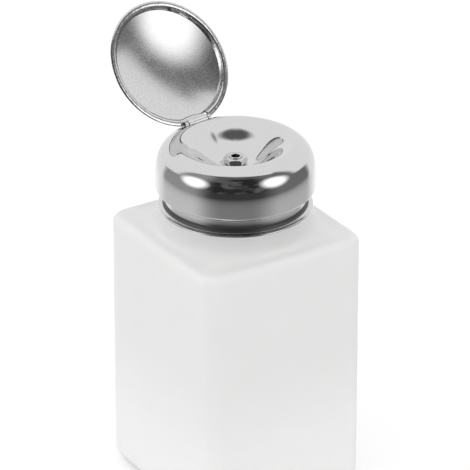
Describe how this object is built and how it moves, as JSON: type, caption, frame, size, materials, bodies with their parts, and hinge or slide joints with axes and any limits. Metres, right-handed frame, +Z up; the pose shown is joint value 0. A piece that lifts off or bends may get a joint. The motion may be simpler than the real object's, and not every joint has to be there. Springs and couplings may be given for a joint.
{
  "type": "pump dispenser bottle",
  "caption": "Square frosted plastic bottle with a polished metal press-dome pump head, dished top, stem nut and an open round flip lid.",
  "frame": {"origin": "centre of the bottle's foot, on the surface it stands on", "axes": "+Z up along the pump's axis; the bottle's sides face along X and Y; the lid's hinge lies behind, 6.2 degrees from +Y towards -X"},
  "size_m": [0.065, 0.0831, 0.1616],
  "materials": {
    "frosted_plastic": "frosted, milky, translucent blown plastic",
    "polished_steel": "polished spun stainless sheet",
    "lid_steel": "stainless sheet, polished hem, satin inside",
    "valve_steel": "turned stainless",
    "white_plastic": "moulded white plastic",
    "tube_plastic": "clear extruded plastic",
    "gasket": "pale foam",
    "seal_rubber": "black rubber"
  },
  "bodies": {
    "bottle": {"bottle": "frosted_plastic"},
    "pump_unit": {"pump_housing": "white_plastic", "guide_bush": "white_plastic", "stem_seal": "seal_rubber", "ball_cage": "white_plastic", "dip_tube": "tube_plastic", "neck_gasket": "gasket"},
    "collar": {"collar_shell": "polished_steel", "collar_liner": "white_plastic"},
    "plunger": {"press_dome": "polished_steel", "stem_tube": "valve_steel", "top_nut": "valve_steel", "under_washer": "valve_steel", "under_nut": "valve_steel", "piston": "white_plastic", "piston_seal": "seal_rubber", "return_spring": "valve_steel", "hinge_bracket": "polished_steel", "hinge_pin": "valve_steel"},
    "lid": {"lid_shell": "lid_steel"},
    "inlet_ball": {"inlet_ball": "valve_steel"},
    "outlet_ball": {"outlet_ball": "valve_steel"}
  },
  "joints": [
    {"name": "pump_lift", "type": "slide", "parent": "bottle", "child": "pump_unit", "axis": [0, 0, 1], "range_m": [0, 0.00451]},
    {"name": "collar_turn", "type": "hinge", "parent": "pump_unit", "child": "collar", "pos_m": [0, 0, 0.105], "axis": [0, 0, 1], "range_deg": [0, 540]},
    {"name": "press", "type": "slide", "parent": "pump_unit", "child": "plunger", "axis": [0, 0, -1], "range_m": [0, 0.003], "stiffness_N_per_m": 300, "springref_m": -0.01, "deforming": ["return_spring"]},
    {"name": "lid_swing", "type": "hinge", "parent": "plunger", "child": "lid", "pos_m": [-0.0023, 0.02118, 0.128], "axis": [0.9942, 0.108, 0], "range_deg": [0, 130]},
    {"name": "inlet_lift", "type": "slide", "parent": "pump_unit", "child": "inlet_ball", "axis": [0, 0, 1], "range_m": [0, 0.001]},
    {"name": "outlet_lift", "type": "slide", "parent": "plunger", "child": "outlet_ball", "axis": [0, 0, 1], "range_m": [0, 0.0008]}
  ],
  "couplings": [
    {"joint": "pump_lift", "follows": "collar_turn", "m_per_rad": 0.00047746}
  ]
}
